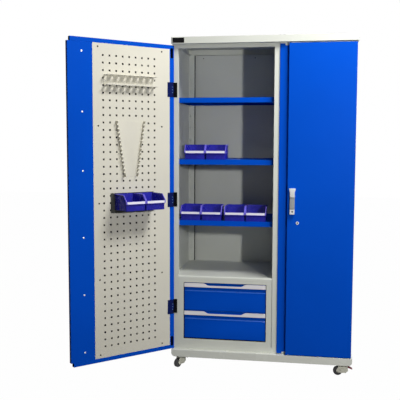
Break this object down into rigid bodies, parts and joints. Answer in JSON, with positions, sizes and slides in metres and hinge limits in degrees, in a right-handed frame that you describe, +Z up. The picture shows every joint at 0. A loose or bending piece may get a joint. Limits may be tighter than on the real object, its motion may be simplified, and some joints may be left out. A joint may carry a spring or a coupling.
{
  "type": "tool cabinet with doors",
  "caption": "Upright steel tool cabinet on casters: a wide perforated door, a narrow door with a lever handle, shelves, drawers and storage bins.",
  "frame": {"origin": "centre of the base's underside, the face that the caster plates are fixed to", "axes": "+Z up along the cabinet's height; +Y from the doors to the back; +X to the right as seen from the front"},
  "size_m": [1.4558, 0.9628, 1.84],
  "materials": {
    "light_paint": "light grey-cream powder coat, fine texture, satin",
    "blue_paint": "saturated blue powder coat, satin",
    "bin_plastic": "moulded blue-violet plastic, satin",
    "silver_strip": "satin silver",
    "zinc_steel": "zinc-plated",
    "drawer_grey": "grey powder coat",
    "black_hinge": "black, satin",
    "plate_steel": "dark grey",
    "badge_black": "gloss black, bare",
    "handle_grey": "light grey, satin",
    "lock_chrome": "polished",
    "caster_steel": "cream paint, worn",
    "wheel_rubber": "black, matt",
    "pedal_red": "dark red"
  },
  "bodies": {
    "cabinet": {"base_frame": "light_paint", "floor_panel": "light_paint", "left_side_panel": "light_paint", "right_side_panel": "light_paint", "back_panel": "light_paint", "top_cap": "light_paint", "frame_rails": "light_paint", "centre_partition": "light_paint", "badge_plate": "badge_black", "shelf_uprights": "light_paint", "shelf_clips": "zinc_steel", "lower_shelf": "blue_paint", "middle_shelf": "blue_paint", "top_shelf": "blue_paint", "right_shelves": "blue_paint", "shelf_bins": "bin_plastic", "drawer_housing": "light_paint", "drawer_deck": "light_paint", "drawer_rails": "zinc_steel", "hinge_frame_leaves": "black_hinge", "caster_plates": "zinc_steel"},
    "upper_drawer": {"upper_drawer_tub": "drawer_grey", "upper_drawer_front": "blue_paint", "upper_drawer_handle": "silver_strip", "upper_drawer_runners": "zinc_steel"},
    "lower_drawer": {"lower_drawer_tub": "drawer_grey", "lower_drawer_front": "blue_paint", "lower_drawer_handle": "silver_strip", "lower_drawer_runners": "zinc_steel"},
    "left_door": {"left_door_shell": "blue_paint", "left_door_stile": "blue_paint", "pegboard": "light_paint", "left_door_screws": "zinc_steel", "tool_rack": "light_paint", "spanner_rack": "light_paint", "bin_plate": "plate_steel", "door_bins": "bin_plastic", "left_hinge_leaves": "black_hinge"},
    "right_door": {"right_door_shell": "blue_paint", "right_door_stile": "blue_paint", "meeting_strip": "blue_paint", "right_hinge_leaves": "black_hinge", "handle_housing": "handle_grey"},
    "lever": {"handle_lever": "handle_grey", "latch_cam": "zinc_steel"},
    "key_plug": {"handle_key_plug": "lock_chrome"},
    "cam_lock": {"round_lock": "lock_chrome"},
    "upper_rod": {"upper_lock_rod": "zinc_steel"},
    "lower_rod": {"lower_lock_rod": "zinc_steel"},
    "front_left_caster": {"front_left_fork": "caster_steel"},
    "front_left_roller": {"front_left_wheel": "wheel_rubber"},
    "front_left_brake": {"front_left_pedal": "pedal_red"},
    "front_right_caster": {"front_right_fork": "caster_steel"},
    "front_right_roller": {"front_right_wheel": "wheel_rubber"},
    "front_right_brake": {"front_right_pedal": "pedal_red"},
    "rear_left_caster": {"rear_left_fork": "caster_steel"},
    "rear_left_roller": {"rear_left_wheel": "wheel_rubber"},
    "rear_right_caster": {"rear_right_fork": "caster_steel"},
    "rear_right_roller": {"rear_right_wheel": "wheel_rubber"}
  },
  "joints": [
    {"name": "left_door_hinge", "type": "hinge", "parent": "cabinet", "child": "left_door", "pos_m": [-0.491, -0.256, 0.888], "axis": [0, 0, -1], "range_deg": [-136.4, 8.6]},
    {"name": "right_door_hinge", "type": "hinge", "parent": "cabinet", "child": "right_door", "pos_m": [0.491, -0.256, 0.888], "axis": [0, 0, 1], "range_deg": [0, 145]},
    {"name": "upper_drawer_slide", "type": "slide", "parent": "cabinet", "child": "upper_drawer", "axis": [0, -1, 0], "range_m": [0, 0.35]},
    {"name": "lower_drawer_slide", "type": "slide", "parent": "cabinet", "child": "lower_drawer", "axis": [0, -1, 0], "range_m": [0, 0.35]},
    {"name": "handle_lever_swing", "type": "hinge", "parent": "right_door", "child": "lever", "pos_m": [0.1655, -0.278, 0.937], "axis": [0, -1, 0], "range_deg": [0, 90]},
    {"name": "upper_rod_slide", "type": "slide", "parent": "right_door", "child": "upper_rod", "axis": [0, 0, -1], "range_m": [0, 0.016]},
    {"name": "lower_rod_slide", "type": "slide", "parent": "right_door", "child": "lower_rod", "axis": [0, 0, 1], "range_m": [0, 0.016]},
    {"name": "key_plug_turn", "type": "hinge", "parent": "right_door", "child": "key_plug", "pos_m": [0.1655, -0.278, 0.836], "axis": [0, 1, 0], "range_deg": [0, 90]},
    {"name": "cam_lock_turn", "type": "hinge", "parent": "right_door", "child": "cam_lock", "pos_m": [0.1945, -0.273, 0.774], "axis": [0, 1, 0], "range_deg": [0, 90]},
    {"name": "front_left_swivel", "type": "hinge", "parent": "cabinet", "child": "front_left_caster", "pos_m": [-0.452, -0.233, -0.0033], "axis": [0, 0, 1], "continuous": true},
    {"name": "front_left_wheel_spin", "type": "hinge", "parent": "front_left_caster", "child": "front_left_roller", "pos_m": [-0.4655, -0.25638, -0.04], "axis": [0.866, -0.5, 0], "continuous": true},
    {"name": "front_left_brake_pedal", "type": "hinge", "parent": "front_left_caster", "child": "front_left_brake", "pos_m": [-0.43975, -0.21178, -0.0183], "axis": [-0.866, 0.5, 0], "range_deg": [-12, 0]},
    {"name": "front_right_swivel", "type": "hinge", "parent": "cabinet", "child": "front_right_caster", "pos_m": [0.452, -0.233, -0.0033], "axis": [0, 0, 1], "continuous": true},
    {"name": "front_right_wheel_spin", "type": "hinge", "parent": "front_right_caster", "child": "front_right_roller", "pos_m": [0.425, -0.233, -0.04], "axis": [0, -1, 0], "continuous": true},
    {"name": "front_right_brake_pedal", "type": "hinge", "parent": "front_right_caster", "child": "front_right_brake", "pos_m": [0.4765, -0.233, -0.0183], "axis": [0, 1, 0], "range_deg": [-12, 0]},
    {"name": "rear_left_swivel", "type": "hinge", "parent": "cabinet", "child": "rear_left_caster", "pos_m": [-0.452, 0.233, -0.0033], "axis": [0, 0, 1], "continuous": true},
    {"name": "rear_left_wheel_spin", "type": "hinge", "parent": "rear_left_caster", "child": "rear_left_roller", "pos_m": [-0.47647, 0.22159, -0.04], "axis": [0.4226, -0.9063, 0], "continuous": true},
    {"name": "rear_right_swivel", "type": "hinge", "parent": "cabinet", "child": "rear_right_caster", "pos_m": [0.452, 0.233, -0.0033], "axis": [0, 0, 1], "continuous": true},
    {"name": "rear_right_wheel_spin", "type": "hinge", "parent": "rear_right_caster", "child": "rear_right_roller", "pos_m": [0.42753, 0.24441, -0.04], "axis": [-0.4226, -0.9063, 0], "continuous": true}
  ],
  "couplings": [
    {"joint": "handle_lever_swing", "follows": "upper_rod_slide", "rad_per_m": 98},
    {"joint": "lower_rod_slide", "follows": "upper_rod_slide", "ratio": 1}
  ]
}
